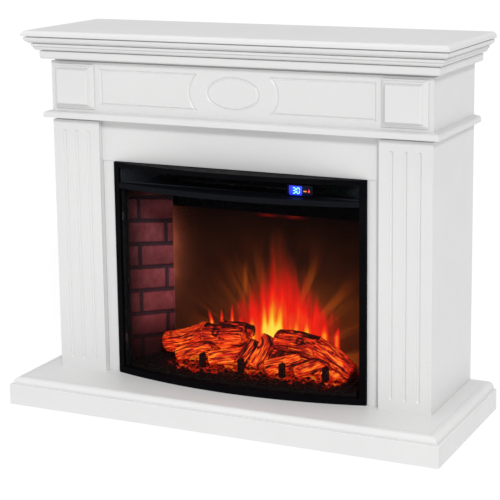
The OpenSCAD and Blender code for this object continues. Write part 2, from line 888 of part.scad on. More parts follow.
module cable_gland() {
    color(black) translate([gland_x, cab_back, gland_z]) rotate([-90, 0, 0]) difference() {
        union() {
            translate([0, 0, -10]) cylinder(h = 12, r = 7);
            cylinder(h = 5, r = 11, $fn = 6);
            translate([0, 0, 4.5]) cylinder(h = 7, r = 7.5);
            translate([0, 0, -6.5]) cylinder(h = 4, r = 10);
        }
        translate([0, 0, -12]) cylinder(h = 26, r = cord_r);
    }
}

module switch_body() {
    color(black) difference() {
        union() {
            translate([switch_x - 18, cab_back, switch_z - 15]) cube([36, 2, 30]);
            translate([switch_x - 15.5, cab_back - 24, switch_z - 12.5]) cube([31, 25, 25]);
        }
        translate([switch_x - switch_w / 2 - 0.4, rocker_y, switch_z]) rotate([0, 90, 0])
            cylinder(h = switch_w + 0.8, r = rocker_r + 0.5);
        translate([switch_x - switch_w / 2 - 0.4, rocker_y, switch_z - rocker_r - 0.5])
            cube([switch_w + 0.8, 20, 2 * rocker_r + 1]);
        translate([switch_x - 14, rocker_y, switch_z]) rotate([0, 90, 0])
            cylinder(h = 28, r = 1.5 + run_gap);
    }
}

// the rocker rests with its top edge pressed in, and turns about its own pins
module switch_rocker() {
    valley = 3;
    end = valley + rocker_r * tan(rocker_tilt);
    color([0.7, 0.08, 0.06]) translate([switch_x, rocker_y, switch_z]) rotate([rocker_tilt, 0, 0]) {
        translate([-switch_w / 2, 0, 0]) rotate([90, 0, 90]) linear_extrude(switch_w)
            intersection() {
                circle(rocker_r);
                polygon([[-3, -rocker_r], [end, -rocker_r], [valley, 0], [end, rocker_r],
                    [-3, rocker_r]]);
            }
        translate([-switch_w / 2 - 3, 0, 0]) rotate([0, 90, 0])
            cylinder(h = switch_w + 6, r = 1.5);
    }
}

// angle brackets that hold the firebox to the backs of the jambs
module mounting_brackets() {
    leg = 28;
    color(steel) for (s = [-1, 1], z = [200, 560])
        translate([s * (cab_w / 2 + 0.1), jamb_y + 18, z]) mirror([s < 0 ? 1 : 0, 0, 0]) {
            cube([2, leg, 30]);
            cube([leg, 2, 30]);
        }
}

mantel_shelf();
crown_front();
crown_left();
crown_right();
frieze_board();
corner_block_left();
corner_block_right();
side_panel_left();
side_panel_right();
waist_front();
waist_left();
waist_right();
header_board();
pilaster_left();
pilaster_right();
jamb_left();
jamb_right();
hearth_board();
plinth_front();
plinth_left();
plinth_right();
plinth_back();
back_rail();
corner_braces();
front_frame();
mid_rail();
air_grille();
front_glass();
glass_clips();
display_window();
display_module();
control_board();
cabinet_top();
cabinet_side_left();
cabinet_side_right();
cabinet_floor();
rear_cover();
rear_cover_screws();
brick_panel_left();
brick_panel_right();
firebox_ceiling();
flame_screen();
flame_rotor();
rotor_motor();
rotor_bearings();
flame_led_board();
log_set();
ember_bed();
grate_fingers();
ember_led_board();
fan_impeller();
fan_housing();
fan_motor();
fan_bearing();
heating_element();
cable_gland();
switch_body();
switch_rocker();
mounting_brackets();
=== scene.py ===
"""Electric fireplace suite: looks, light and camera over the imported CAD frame.

Metres, in the same frame as the CAD, unless a comment says millimetres."""
import json
import math

import bpy
import bmesh
import numpy as np
from mathutils import Matrix, Vector, noise


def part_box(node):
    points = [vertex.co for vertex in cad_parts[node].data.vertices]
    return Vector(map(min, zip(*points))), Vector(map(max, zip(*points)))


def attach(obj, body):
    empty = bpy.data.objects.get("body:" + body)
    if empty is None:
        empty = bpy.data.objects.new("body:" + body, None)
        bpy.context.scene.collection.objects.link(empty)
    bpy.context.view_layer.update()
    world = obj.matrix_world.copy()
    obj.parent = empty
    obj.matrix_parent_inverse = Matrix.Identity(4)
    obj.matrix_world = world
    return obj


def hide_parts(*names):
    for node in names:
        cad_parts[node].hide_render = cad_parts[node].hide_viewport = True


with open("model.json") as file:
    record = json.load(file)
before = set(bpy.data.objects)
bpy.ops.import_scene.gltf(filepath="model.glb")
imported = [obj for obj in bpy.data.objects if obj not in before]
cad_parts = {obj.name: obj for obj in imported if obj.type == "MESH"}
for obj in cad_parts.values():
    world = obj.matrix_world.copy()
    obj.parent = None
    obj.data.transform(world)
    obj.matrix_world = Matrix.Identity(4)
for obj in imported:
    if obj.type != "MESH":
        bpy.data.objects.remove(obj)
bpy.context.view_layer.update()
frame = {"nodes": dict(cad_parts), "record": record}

NODES = frame["nodes"]
BODY = "suite"
MM = 1000  # millimetres in a metre


def link_new(name, data):
    """A new object with that data, linked to the scene."""
    o = bpy.data.objects.new(name, data)
    bpy.context.scene.collection.objects.link(o)
    return o


# ---------------------------------------------------------------- camera

CAMERA_AT = (1.8535, -3.8350, 1.4741)
CAMERA_YAW, CAMERA_PITCH, CAMERA_ROLL = 24.60, -10.66, -0.52  # degrees
CAMERA_LENS, CAMERA_SENSOR = 112.08, 36  # millimetres
CAMERA_SHIFT = (-0.06, -0.15)
CAMERA_CLIP_END = 200


def make_camera():
    yaw, pitch, roll = (math.radians(a) for a in (CAMERA_YAW, CAMERA_PITCH, CAMERA_ROLL))
    level = math.cos(pitch)
    fwd = Vector((-math.sin(yaw) * level, math.cos(yaw) * level, math.sin(pitch)))
    right = Vector((math.cos(yaw), math.sin(yaw), 0))
    up = right.cross(fwd)
    x = right * math.cos(roll) + up * math.sin(roll)
    y = -right * math.sin(roll) + up * math.cos(roll)
    data = bpy.data.cameras.new("camera")
    data.sensor_width = CAMERA_SENSOR
    data.lens = CAMERA_LENS
    data.shift_x, data.shift_y = CAMERA_SHIFT
    data.clip_end = CAMERA_CLIP_END
    cam = link_new("camera", data)
    m = Matrix((x, y, -fwd)).transposed().to_4x4()
    m.translation = Vector(CAMERA_AT)
    cam.matrix_world = m
    bpy.context.scene.camera = cam


make_camera()


# ---------------------------------------------------------------- material helpers

MIDDLE = (0.3, 0.7)  # the range that a noise's values mostly stay in
COLOUR_FAC, COLOUR_A, COLOUR_B, COLOUR_OUT = 0, 6, 7, 2  # sockets of the Mix node, for colours


class Mat:
    """A Principled material whose colour, roughness and bump come from object-space textures."""

    def __init__(self, name, color, roughness=0.5, metallic=0.0, specular=0.5):
        self.m = bpy.data.materials.new(name)
        self.m.use_nodes = True
        self.t = self.m.node_tree
        self.b = self.t.nodes["Principled BSDF"]
        self.b.inputs["Base Color"].default_value = (*color, 1)
        self.b.inputs["Roughness"].default_value = roughness
        self.b.inputs["Metallic"].default_value = metallic
        self.b.inputs["Specular IOR Level"].default_value = specular
        self.coord = self.t.nodes.new("ShaderNodeTexCoord")

    def link(self, a, b):
        self.t.links.new(a, b)

    def at(self, stretch=(1, 1, 1)):
        """Object coordinates; a stretch below 1 draws the texture out along that axis."""
        n = self.t.nodes.new("ShaderNodeMapping")
        n.inputs["Scale"].default_value = stretch
        self.link(self.coord.outputs["Object"], n.inputs["Vector"])
        return n.outputs["Vector"]

    def noise(self, scale, detail=4.0, rough=0.55, stretch=(1, 1, 1), distort=0.0):
        n = self.t.nodes.new("ShaderNodeTexNoise")
        n.inputs["Scale"].default_value = scale
        n.inputs["Detail"].default_value = detail
        n.inputs["Roughness"].default_value = rough
        n.inputs["Distortion"].default_value = distort
        self.link(self.at(stretch), n.inputs["Vector"])
        return n.outputs["Fac"]

    def voronoi(self, scale, feature="F1", out="Distance", stretch=(1, 1, 1)):
        n = self.t.nodes.new("ShaderNodeTexVoronoi")
        n.feature = feature
        n.inputs["Scale"].default_value = scale
        self.link(self.at(stretch), n.inputs["Vector"])
        return n.outputs[out]

    def carried(self, name):
        """A number that the mesh carries at its points, stored as a UV layer's first value."""
        n = self.t.nodes.new("ShaderNodeUVMap")
        n.uv_map = name
        x = self.t.nodes.new("ShaderNodeSeparateXYZ")
        self.link(n.outputs["UV"], x.inputs[0])
        return x.outputs["X"]

    def ramp(self, fac, stops):
        """The colour at fac between the stops, which are pairs of a position and a colour."""
        n = self.t.nodes.new("ShaderNodeValToRGB")
        cr = n.color_ramp
        while len(cr.elements) < len(stops):
            cr.elements.new(0.5)
        for e, (pos, c) in zip(cr.elements, stops):
            e.position = pos
            e.color = (*c, 1)
        self.link(fac, n.inputs["Fac"])
        return n.outputs["Color"]

    def span(self, fac, lo, hi, a=0.0, b=1.0):
        """lo where fac is a or less, hi where it is b or more, and in between otherwise."""
        n = self.t.nodes.new("ShaderNodeMapRange")
        for key, v in (("From Min", a), ("From Max", b), ("To Min", lo), ("To Max", hi)):
            n.inputs[key].default_value = v
        self.link(fac, n.inputs["Value"])
        return n.outputs["Result"]

    def math(self, op, a, b=None):
        n = self.t.nodes.new("ShaderNodeMath")
        n.operation = op
        for i, v in enumerate((a, b)):
            if v is None:
                continue
            if isinstance(v, (int, float)):
                n.inputs[i].default_value = v
            else:
                self.link(v, n.inputs[i])
        return n.outputs["Value"]

    def mix(self, fac, a, b):
        """Colour a where fac is 0 and b where it is 1."""
        n = self.t.nodes.new("ShaderNodeMix")
        n.data_type = "RGBA"
        for i, v in ((COLOUR_FAC, fac), (COLOUR_A, a), (COLOUR_B, b)):
            if isinstance(v, (int, float)):
                n.inputs[i].default_value = v
            elif isinstance(v, tuple):
                n.inputs[i].default_value = (*v, 1)
            else:
                self.link(v, n.inputs[i])
        return n.outputs[COLOUR_OUT]

    def bump(self, height, distance, strength=1.0, then=None):
        n = self.t.nodes.new("ShaderNodeBump")
        n.inputs["Distance"].default_value = distance
        n.inputs["Strength"].default_value = strength
        self.link(height, n.inputs["Height"])
        if then is not None:
            self.link(then, n.inputs["Normal"])
        return n.outputs["Normal"]

    def set(self, **sockets):
        """Puts numbers or colours on the shader's own sockets, or links outputs to them."""
        for key, v in sockets.items():
            s = self.b.inputs[key.replace("_", " ")]
            if isinstance(v, (int, float)):
                s.default_value = v
            elif isinstance(v, tuple):
                s.default_value = (*v, 1)
            else:
                self.link(v, s)
        return self


def white_board():
    m = Mat("white_satin_paint", (0.67, 0.67, 0.665), specular=0.35)
    cloud = m.ramp(m.noise(2.2, 3), [(0.3, (0.655, 0.656, 0.655)), (0.7, (0.685, 0.685, 0.682))])
    fleck = m.span(m.noise(140, 6, 0.6), 0.0, 0.35, 0.35, 0.75)
    peel = m.noise(420, 3, 0.5)
    roller = m.noise(55, 2, 0.5, stretch=(1, 1, 0.35))
    m.set(Base_Color=m.mix(fleck, cloud, (0.64, 0.64, 0.637)),
          Roughness=m.span(m.noise(18, 4), 0.36, 0.5, *MIDDLE),
          Normal=m.bump(peel, 0.0001, 0.35, m.bump(roller, 0.0001, 0.4)))
    return m.m


def softwood():
    m = Mat("bare_softwood", (0.7, 0.52, 0.32), 0.65)
    grain = m.noise(60, 6, 0.6, stretch=(1, 1, 0.08), distort=0.6)
    wood = [(0.3, (0.42, 0.26, 0.13)), (0.55, (0.66, 0.46, 0.26)), (0.8, (0.78, 0.6, 0.38))]
    m.set(Base_Color=m.ramp(grain, wood), Normal=m.bump(grain, 0.0004, 0.6))
    return m.m


def black_sheet():
    """Satin black paint, paler where painted light is carried: on the lit ends of the outlet mesh
    and all over the middle rail.
    """
    m = Mat("black_satin_sheet", (0.003, 0.003, 0.004), specular=0.02)
    grain = m.noise(900, 3, 0.6)
    paint_tone = m.ramp(m.noise(9, 4), [(0.3, (0.0014, 0.0014, 0.0020)),
                                        (0.75, (0.0030, 0.0030, 0.0042))])
    # painted light: a paler grey where the outlet mesh and the middle rail carry it
    m.set(Base_Color=m.mix(m.carried("worn"), paint_tone, (0.045, 0.050, 0.062)),
          Roughness=m.span(m.noise(35, 4), 0.42, 0.55, *MIDDLE),
          Normal=m.bump(grain, 0.00006, 0.5))
    return m.m


def sheet_steel():
    spangle = 150
    m = Mat("galvanised_sheet", (0.5, 0.51, 0.52), 0.45, 1.0)
    tone = m.ramp(m.voronoi(spangle, out="Color"), [(0.15, (0.42, 0.435, 0.45)),
                                                    (0.85, (0.53, 0.545, 0.555))])
    m.set(Base_Color=tone, Roughness=m.span(m.noise(28, 5), 0.36, 0.52, *MIDDLE),
          Normal=m.bump(m.voronoi(spangle), 0.0001, 0.15))
    return m.m


def clear_glass():
    """Tinted dark as painted shade over the firebox: dims what lies behind it, and more so at a
    glancing angle.
    """
    m = Mat("shade_tinted_glass", (0.0015, 0.0015, 0.002), 0.03, specular=0.02)
    lw = m.t.nodes.new("ShaderNodeLayerWeight")
    lw.inputs["Blend"].default_value = 0.18
    smear = m.span(m.noise(7, 5, 0.6), 0.96, 1.04, *MIDDLE)
    m.set(Alpha=m.math("MULTIPLY", m.span(lw.outputs["Fresnel"], 0.20, 0.34), smear),
          Roughness=m.span(m.noise(16, 4), 0.03, 0.07, *MIDDLE))
    return m.m


def gloss_black():
    m = Mat("display_lens", (0.004, 0.005, 0.02), 0.12, specular=0.08)
    tones = [(0.3, (0.003, 0.004, 0.014)), (0.8, (0.006, 0.008, 0.03))]
    m.set(Roughness=m.span(m.noise(60, 3), 0.1, 0.2, *MIDDLE),
          Base_Color=m.ramp(m.noise(30, 2), tones))
    return m.m


def circuit_board():
    m = Mat("solder_mask", (0.03, 0.16, 0.07), 0.35)
    tracks = m.voronoi(220, "DISTANCE_TO_EDGE", stretch=(1, 0.4, 1))
    track, mask = (0.02, 0.22, 0.09), (0.015, 0.1, 0.04)
    m.set(Base_Color=m.ramp(tracks, [(0.0, track), (0.06, track), (0.1, mask)]),
          Normal=m.bump(tracks, 0.0002, 0.4))
    return m.m


def metal(name, color, lo, hi, stretch=(1, 1, 1)):
    m = Mat(name, color, 0.3, 1.0)
    brush = m.noise(260, 4, 0.6, stretch=stretch)
    dull = tuple(0.8 * c for c in color)
    m.set(Base_Color=m.mix(m.span(m.noise(20, 4), 0.0, 0.5, *MIDDLE), color, dull),
          Roughness=m.span(brush, lo, hi, *MIDDLE), Normal=m.bump(brush, 0.0001, 0.3))
    return m.m


def plain(name, color, lo, hi, specular=0.5, scale=300):
    m = Mat(name, color, specular=specular)
    grain = m.noise(scale, 4, 0.6)
    dull = tuple(0.72 * c for c in color)
    m.set(Base_Color=m.mix(m.span(m.noise(14, 4), 0.0, 0.6, *MIDDLE), color, dull),
          Roughness=m.span(m.noise(30, 4), lo, hi, *MIDDLE), Normal=m.bump(grain, 0.0001, 0.5))
    return m.m


def brick_print():
    """Mortar where the carried 'brick' is 0, clay where it is 1; 'tone' shifts each brick, and the
    carried painted shade darkens it to near black.
    """
    m = Mat("moulded_brick", (0.2, 0.07, 0.08), 0.6, specular=0.25)
    face = m.noise(38, 6, 0.62)
    speck = m.noise(420, 3, 0.6)
    clay = m.ramp(face, [(0.28, (0.46, 0.100, 0.120)), (0.5, (0.74, 0.19, 0.225)),
                         (0.72, (0.92, 0.31, 0.34))])
    clay = m.mix(m.span(speck, 0, 0.5, 0.55, 0.8), clay, (0.05, 0.02, 0.022))
    clay = m.mix(m.carried("tone"), clay, (0.44, 0.11, 0.135))
    mortar = m.ramp(m.noise(160, 4), [(0.3, (0.09, 0.055, 0.075)), (0.7, (0.17, 0.11, 0.15))])
    wall = m.mix(m.carried("brick"), mortar, clay)
    # painted shade: near black where the wall carries full painted shade
    m.set(Base_Color=m.mix(m.carried("soot"), wall, (0.002, 0.0015, 0.002)),
          Roughness=m.span(face, 0.5, 0.8, *MIDDLE),
          Normal=m.bump(speck, 0.0004, 0.5, m.bump(face, 0.0012, 0.6)))
    return m.m


def flame_film():
    """Emission from the carried red, green and blue, with fine vertical fibres in the film."""
    m = Mat("flame_screen_film", (0.003, 0.002, 0.002), 0.6, specular=0.02)
    m.set(Base_Color=m.ramp(m.noise(30, 3), [(0.3, (0.0022, 0.0016, 0.0016)),
                                             (0.7, (0.0036, 0.0024, 0.0022))]))
    fibre = m.span(m.noise(160, 4, 0.6, stretch=(1, 1, 0.12)), 0.86, 1.12, *MIDDLE)
    lit = m.t.nodes.new("ShaderNodeVectorMath")
    lit.operation = "SCALE"
    rgb = m.t.nodes.new("ShaderNodeCombineXYZ")
    for i, key in enumerate(("red", "green", "blue")):
        m.link(m.carried(key), rgb.inputs[i])
    m.link(rgb.outputs[0], lit.inputs[0])
    m.link(fibre, lit.inputs["Scale"])
    m.set(Emission_Color=lit.outputs[0], Emission_Strength=1.6,
          Normal=m.bump(m.noise(500, 2), 0.0001, 0.4))
    return m.m


FIRE = [(0.0, (0.002, 0.0005, 0.0005)), (0.24, (0.040, 0.002, 0.001)), (0.46, (0.34, 0.007, 0.002)),
        (0.66, (0.68, 0.020, 0.004)), (0.84, (0.88, 0.052, 0.005)), (1.0, (1.0, 0.22, 0.016))]


def log_resin():
    """Bark relief over lit resin: 'bark' is its height, 'heat' how strongly it is lit inside.

    'across', 'over' and 'along' place each point in its own log, in metres, so that the fine grain
    runs along the log."""
    m = Mat("log_resin", (0.03, 0.012, 0.008), 0.6, specular=0.15)

    def grain(scale, stretch, detail, distort):
        at = m.t.nodes.new("ShaderNodeCombineXYZ")
        axes = (("across", scale), ("over", scale), ("along", scale * stretch))
        for i, (key, s) in enumerate(axes):
            m.link(m.math("MULTIPLY", m.carried(key), s), at.inputs[i])
        n = m.t.nodes.new("ShaderNodeTexNoise")
        n.inputs["Scale"].default_value = 1.0
        n.inputs["Detail"].default_value = detail
        n.inputs["Roughness"].default_value = 0.6
        n.inputs["Distortion"].default_value = distort
        m.link(at.outputs[0], n.inputs["Vector"])
        return n.outputs["Fac"]

    def crack(fac, width):
        """0 in a crack, which follows the middle value of the noise, 1 away from it."""
        return m.span(m.math("ABSOLUTE", m.math("SUBTRACT", fac, 0.5)), 0.0, 1.0, 0.0, width)

    fine = crack(grain(250, 0.045, 2.0, 0.25), 0.080)
    coarse = crack(grain(110, 0.07, 3.0, 0.45), 0.055)
    plates = m.math("MULTIPLY", m.span(fine, 0.25, 1.0), coarse)
    vein = m.span(grain(340, 0.05, 2.0, 0.25), 0.0, 1.0, 0.50, 0.64)
    blotch = m.noise(30, 4, 0.6)
    h = m.math("MULTIPLY", m.carried("heat"), m.span(blotch, 0.80, 1.12, *MIDDLE))
    h = m.math("SUBTRACT", h, m.math("MULTIPLY", m.carried("bark"), 0.20))
    h = m.math("MULTIPLY", h, m.span(plates, 0.10, 0.94))
    h = m.math("ADD", h, m.math("MULTIPLY", m.math("MULTIPLY", vein, plates), 0.34))
    h = m.math("ADD", h, m.span(m.noise(420, 3, 0.65), -0.05, 0.05, *MIDDLE))
    m.set(Base_Color=m.ramp(plates, [(0.2, (0.006, 0.003, 0.003)), (0.8, (0.05, 0.014, 0.008))]),
          Emission_Color=m.ramp(h, FIRE), Emission_Strength=1.9,
          Normal=m.bump(plates, 0.0012, 0.8))
    return m.m


def ember_resin():
    m = Mat("ember_resin", (0.006, 0.005, 0.005), 0.6, specular=0.12)
    grain = m.noise(300, 4, 0.65)
    h = m.math("SUBTRACT", m.carried("heat"), m.math("MULTIPLY", m.carried("bark"), 0.8))
    h = m.math("ADD", h, m.span(m.noise(60, 4), -0.12, 0.12, *MIDDLE))
    ash = [(0.3, (0.003, 0.0025, 0.0025)), (0.7, (0.012, 0.008, 0.007))]
    m.set(Base_Color=m.ramp(m.noise(70, 4), ash), Emission_Color=m.ramp(h, FIRE),
          Emission_Strength=0.9, Normal=m.bump(grain, 0.0006, 0.8))
    return m.m


def glow(name, color, strength):
    m = Mat(name, (0.02, 0.02, 0.02), 0.3)
    tone = m.ramp(m.noise(220, 2), [(0.3, tuple(0.85 * c for c in color)), (0.7, color)])
    m.set(Emission_Color=tone, Emission_Strength=strength)
    return m.m


MATS = {
    "white_board": white_board(),
    "pine": softwood(),
    "black_sheet": black_sheet(),
    "sheet_steel": sheet_steel(),
    "clear_glass": clear_glass(),
    "display_cover": gloss_black(),
    "display_block": plain("display_module_body", (0.003, 0.004, 0.010), 0.4, 0.5, 0.1),
    "circuit_board": circuit_board(),
    "brick_print": brick_print(),
    "flame_film": flame_film(),
    "bright_strip": metal("bright_strip", (0.82, 0.82, 0.84), 0.08, 0.25, (0.1, 1, 1)),
    "motor_case": plain("motor_paint", (0.06, 0.06, 0.065), 0.35, 0.55),
    "log_resin": log_resin(),
    "ember_resin": ember_resin(),
    # painted light: the grate's black iron is tinted dark red for the logs' glow falling on it
    "grate_black": plain("grate_iron_painted_glow", (0.020, 0.006, 0.005), 0.45, 0.7, 0.2, 180),
    "bush": metal("sintered_bush", (0.72, 0.50, 0.22), 0.3, 0.5),
    # painted shade: the heater's ceramic is coloured near black for the shade it lies in behind the
    # mesh
    "heater_ceramic": plain("heater_ceramic", (0.045, 0.040, 0.038), 0.6, 0.85, 0.1),
    "black_plastic": plain("black_plastic", (0.02, 0.02, 0.021), 0.4, 0.55, 0.4, 700),
    "red_plastic": plain("red_plastic", (0.5, 0.015, 0.012), 0.15, 0.3),
}
SLOT_OF = {s["node"]: s["material_slot"] for s in frame["record"]["subparts"]}


def paint(obj, mat):
    obj.data.materials.clear()
    obj.data.materials.append(mat)


for name, obj in NODES.items():
    paint(obj, MATS[SLOT_OF[name]])


WELD_GAP, EDGE_ANGLE, EDGE_SEGMENTS = 0.00002, 30, 3  # the angle in degrees


def soften(names, width):
    """Rounds the sharp edges of CAD nodes by a bevel of that width."""
    for name in names:
        o = NODES[name]
        weld = o.modifiers.new("weld", "WELD")
        weld.merge_threshold = WELD_GAP
        b = o.modifiers.new("edge", "BEVEL")
        b.width = width
        b.segments = EDGE_SEGMENTS
        b.limit_method = "ANGLE"
        b.angle_limit = math.radians(EDGE_ANGLE)
        b.use_clamp_overlap = True
        w = o.modifiers.new("flat", "WEIGHTED_NORMAL")
        w.keep_sharp = True
        o.data.polygons.foreach_set("use_smooth", [True] * len(o.data.polygons))


# ---------------------------------------------------------------- small tools for pieces

RNG = np.random.default_rng(20)
CELLS = 97
LATTICE = RNG.random((CELLS, CELLS))


def field(x, y):
    """Smooth random values between 0 and 1 over the plane, as arrays."""
    xi, yi = np.floor(x).astype(int), np.floor(y).astype(int)
    fx, fy = x - xi, y - yi
    fx, fy = fx * fx * (3 - 2 * fx), fy * fy * (3 - 2 * fy)
    x0, x1, y0, y1 = xi % CELLS, (xi + 1) % CELLS, yi % CELLS, (yi + 1) % CELLS
    a, b, c, d = LATTICE[x0, y0], LATTICE[x1, y0], LATTICE[x0, y1], LATTICE[x1, y1]
    return (a * (1 - fx) + b * fx) * (1 - fy) + (c * (1 - fx) + d * fx) * fy


def fractal(x, y, octaves=4):
    """Values of field at that many scales, each half as strong as the one before."""
    total, amp, norm = 0, 1.0, 0.0
    for k in range(octaves):
        total = total + amp * field(x * 2 ** k + 13.7 * k, y * 2 ** k + 7.9 * k)
        norm += amp
        amp *= 0.5
    return total / norm


def step(a, b, x):
    """0 at a, 1 at b and smooth between; a may be the larger."""
    t = np.clip((x - a) / (b - a), 0, 1)
    return t * t * (3 - 2 * t)


def spot(x, middle, reach):
    """1 at the middle, falling off to both sides."""
    return np.exp(-((x - middle) / reach) ** 2)


def piece(name, verts, faces, slot_name, replaces=(), smooth=True, attrs=None, body=BODY):
    """A visible piece; attrs are numbers for its points, carried to its corners as UV layers."""
    me = bpy.data.meshes.new(name)
    me.from_pydata([tuple(v) for v in verts], [], [tuple(f) for f in faces])
    me.validate()
    me.update()
    corner = np.zeros(len(me.loops), np.int32)
    me.loops.foreach_get("vertex_index", corner)
    for key, values in (attrs or {}).items():
        uv = np.zeros((len(corner), 2), np.float32)
        uv[:, 0] = np.asarray(values, np.float32)[corner]
        me.uv_layers.new(name=key).data.foreach_set("uv", uv.ravel())
    me.polygons.foreach_set("use_smooth", [smooth] * len(me.polygons))
    o = link_new(name, me)
    paint(o, MATS[slot_name])
    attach(o, body)
    if replaces:
        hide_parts(*replaces)
    return o


def grid_faces(nu, nv, closed=False, start=0):
    """Faces of an nu by nv sheet of points, row by row; closed joins the last v to the first."""
    out = []
    for i in range(nu - 1):
        a, b = start + i * nv, start + (i + 1) * nv
        for j in range(nv if closed else nv - 1):
            k = (j + 1) % nv
            out.append((a + j, b + j, b + k, a + k))
    return out


def rim_pairs(nu, nv):
    """Neighbouring points on the rim of such a sheet, in order around it."""
    rim = [i * nv for i in range(nu)] + [(nu - 1) * nv + j for j in range(1, nv)]
    rim += [i * nv + nv - 1 for i in range(nu - 2, -1, -1)] + [j for j in range(nv - 2, 0, -1)]
    return zip(rim, rim[1:] + rim[:1])


# ---------------------------------------------------------------- firebox measures, as in the CAD

BOW_FRONT, BOW_HALF, BOW_RISE = -0.134, 0.384, 0.054
BOW_R = (BOW_HALF ** 2 + BOW_RISE ** 2) / (2 * BOW_RISE)
WALL_FRONT, WALL_BACK = (0.357, -0.060), (0.320, 0.143)
FLOOR_Z, CEILING_Z = 0.0795, 0.622


def bow_y(x, back=0.0):
    """The y of the bowed glass's front at x, or of an arc that lies further back."""
    return BOW_FRONT + BOW_R - np.sqrt((BOW_R - back) ** 2 - np.asarray(x) ** 2)


# ---------------------------------------------------------------- brick walls

WALL_LENGTH = math.hypot(WALL_FRONT[0] - WALL_BACK[0], WALL_FRONT[1] - WALL_BACK[1])
PANEL_THICK = 0.0055
COURSE, FIRST_COURSE, BED_JOINT = 0.0693, 0.092, 0.0075
UPRIGHT_JOINT, UPRIGHTS_AT = 0.012, (0.046, 0.167)  # from the front, in even and odd courses
COURSE_FALL = 0.178  # the courses fall towards the back, about the wall's middle
BRICK_RELIEF = 0.0025


def brick_wall(side):
    """The right wall (side 1) or the left (-1): a plate with its bricks in relief."""
    nu, nv = 92, 230
    s = np.linspace(0, WALL_LENGTH, nu)
    z = np.linspace(FLOOR_Z, CEILING_Z, nv)
    S, Z = np.meshgrid(s, z, indexing="ij")
    level = Z + COURSE_FALL * (S - WALL_LENGTH / 2)
    wob = (fractal(S * 60 + 5 * side, Z * 60) - 0.5) * 0.0022
    row = np.floor((level - FIRST_COURSE) / COURSE).astype(int)
    dz = (level - FIRST_COURSE) - row * COURSE
    mid = np.where(row % 2 == 0, *UPRIGHTS_AT) + UPRIGHT_JOINT / 2
    border = 0.004
    ds = np.minimum(np.abs(S - mid) - UPRIGHT_JOINT / 2, S - border)
    ds = np.where(S < border, -0.001, ds)
    edge = np.minimum(np.minimum(dz - BED_JOINT / 2, COURSE - BED_JOINT / 2 - dz), ds) + wob
    rise = step(-0.0002, 0.0035, edge)
    lumps = fractal(S * 90, Z * 90 + 31 * side)
    chips = step(0.68, 0.8, fractal(S * 140 + 9, Z * 140 + 3 * side, 3))
    height = BRICK_RELIEF * rise * (0.78 + 0.22 * lumps)
    height = height - 0.0006 * rise * chips - 0.0003 * (1 - rise) * lumps
    ident = row * 2 + (S > mid)
    tone = ((np.sin(ident * 12.9898 + side) * 43758.5453) % 1.0) * 0.55
    fx = (WALL_BACK[0] - WALL_FRONT[0]) / WALL_LENGTH
    fy = (WALL_BACK[1] - WALL_FRONT[1]) / WALL_LENGTH
    x = WALL_FRONT[0] + fx * S - fy * height
    y = WALL_FRONT[1] + fy * S + fx * height
    front = np.stack([side * x, y, Z], -1).reshape(-1, 3)
    back_x = WALL_FRONT[0] + fx * S + fy * PANEL_THICK
    back_y = WALL_FRONT[1] + fy * S - fx * PANEL_THICK
    back = np.stack([side * back_x, back_y, Z], -1).reshape(-1, 3)
    n = nu * nv
    faces = grid_faces(nu, nv) + [f[::-1] for f in grid_faces(nu, nv, start=n)]
    faces += [(a, b, b + n, a + n) for a, b in rim_pairs(nu, nv)]
    if side < 0:
        faces = [f[::-1] for f in faces]
    # painted shade: dark at the front edge, under the ceiling, near the bed, towards each brick's
    # foot and under each brick's arris
    arris = 0.35 + 0.65 * (1 - spot(edge, 0.0012, 0.0016))
    patchy = 0.72 + 0.42 * fractal(S * 22 + 3, Z * 22 + 11, 3)
    lit = step(-0.03, 0.11, S) * step(0.640, 0.53, Z) * (0.12 + 0.88 * step(0.13, 0.26, Z))
    lit = np.clip(lit, 0, 1) * arris * patchy * (0.70 + 0.30 * step(0.0, COURSE, dz))
    zero = np.zeros(n)
    attrs = {"brick": np.concatenate([rise.ravel(), zero]),
             "tone": np.concatenate([tone.ravel(), zero]),
             "soot": np.concatenate([(1 - np.clip(lit, 0, 1)).ravel(), zero + 1])}
    hand = "right" if side > 0 else "left"
    piece("brick_wall_" + hand, np.vstack([front, back]), faces, "brick_print",
          ["brick_panel_" + hand], attrs=attrs)


for side in (1, -1):
    brick_wall(side)


# ---------------------------------------------------------------- flame picture on the screen

# each flame's middle at its foot, half width, tip height, heat and lean; lengths in millimetres
FLAMES = [
    (1, 24, 496, 0.86, 9), (29, 13, 412, 0.92, 12), (-22, 16, 352, 0.78, -4),
    (62, 16, 322, 0.68, 5), (-48, 16, 300, 0.70, -6), (-21, 14, 312, 1.10, -1),
    (1, 13, 326, 1.22, 1), (25, 13, 312, 1.15, 2), (3, 46, 246, 1.12, 0),
    (78, 10, 266, 1.02, 2), (113, 14, 264, 1.02, 3), (168, 14, 250, 0.92, 6),
    (207, 9, 232, 0.84, 8), (-62, 13, 252, 0.98, -2), (-127, 6, 274, 1.00, -3),
    (-161, 5, 244, 0.95, -5), (-195, 6, 236, 0.95, -9), (-98, 12, 246, 0.70, -4)]
FLAME_FOOT, FLAME_CURL, FIRST_SEED = 190, 6, 3

# the linear red, green and blue of each heat
HEAT = np.array([0, 0.15, 0.30, 0.45, 0.60, 0.75, 0.88, 1.0, 1.15])
HEAT_RED = np.array([0, 0.026, 0.125, 0.42, 0.79, 0.85, 0.88, 0.96, 1.0])
HEAT_GREEN = np.array([0, 0.0030, 0.0050, 0.0045, 0.0060, 0.040, 0.18, 0.42, 0.66])
HEAT_BLUE = np.array([0, 0.001, 0.0015, 0.003, 0.004, 0.006, 0.008, 0.014, 0.06])
AMBER, BROWN, HAZE = (0.190, 0.030, 0.002), (0.028, 0.0062, 0.0022), (0.085, 0.016, 0.0015)
EDGE_GLOW, GLINT = (0.21, 0.048, 0.024), (0.10, 0.003, 0.002)


